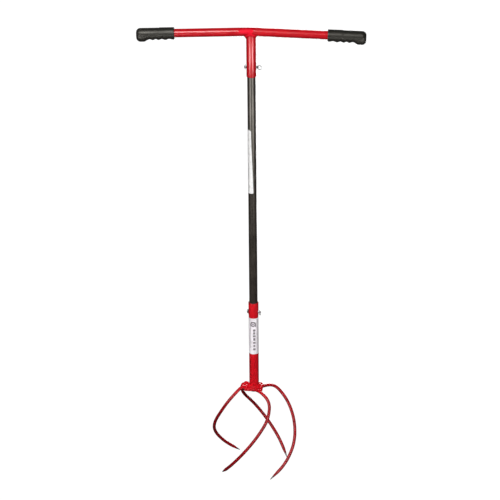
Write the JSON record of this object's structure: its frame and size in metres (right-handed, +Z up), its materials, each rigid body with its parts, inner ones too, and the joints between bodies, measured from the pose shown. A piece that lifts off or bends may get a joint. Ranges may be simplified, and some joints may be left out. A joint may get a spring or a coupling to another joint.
{
  "type": "twist tiller",
  "caption": "Hand tool for loosening soil: a T handle with rubber grips, a straight pinned shaft and a claw of curved pointed tines.",
  "frame": {"origin": "on the shaft's axis, on the ground under the tine tips", "axes": "+Z up the shaft to the handle, X along the cross tube, -Y the side that carries the labels"},
  "size_m": [0.5082, 0.1962, 1.0835],
  "materials": {
    "red_paint": "gloss",
    "black_paint": "satin",
    "grip_rubber": "matte",
    "label_film": "satin",
    "zinc_steel": "bright"
  },
  "bodies": {
    "tool": {"cross_tube": "red_paint", "stem_tube": "red_paint", "handle_weld": "red_paint", "left_grip": "grip_rubber", "right_grip": "grip_rubber", "middle_tube": "black_paint", "middle_label": "label_film", "head_tube": "red_paint", "head_label": "label_film", "front_tine": "red_paint", "right_tine": "red_paint", "back_tine": "red_paint", "left_tine": "red_paint", "hub_weld": "red_paint"},
    "upper_pin": {"upper_pin": "zinc_steel"},
    "upper_ring": {"upper_ring": "zinc_steel"},
    "lower_pin": {"lower_pin": "zinc_steel"},
    "lower_ring": {"lower_ring": "zinc_steel"}
  },
  "joints": [
    {"name": "upper_pin_turn", "type": "hinge", "parent": "tool", "child": "upper_pin", "pos_m": [0, 0, 0.991], "axis": [1, 0, 0], "continuous": true},
    {"name": "upper_ring_swing", "type": "hinge", "parent": "upper_pin", "child": "upper_ring", "pos_m": [0.0137, 0, 0.991], "axis": [0, 0, 1], "range_deg": [-70, 120]},
    {"name": "lower_pin_turn", "type": "hinge", "parent": "tool", "child": "lower_pin", "pos_m": [0, 0, 0.394], "axis": [0.9903, -0.1392, 0], "continuous": true},
    {"name": "lower_ring_swing", "type": "hinge", "parent": "lower_pin", "child": "lower_ring", "pos_m": [0.01396, -0.00196, 0.394], "axis": [0, 0, 1], "range_deg": [-25, 165]}
  ]
}
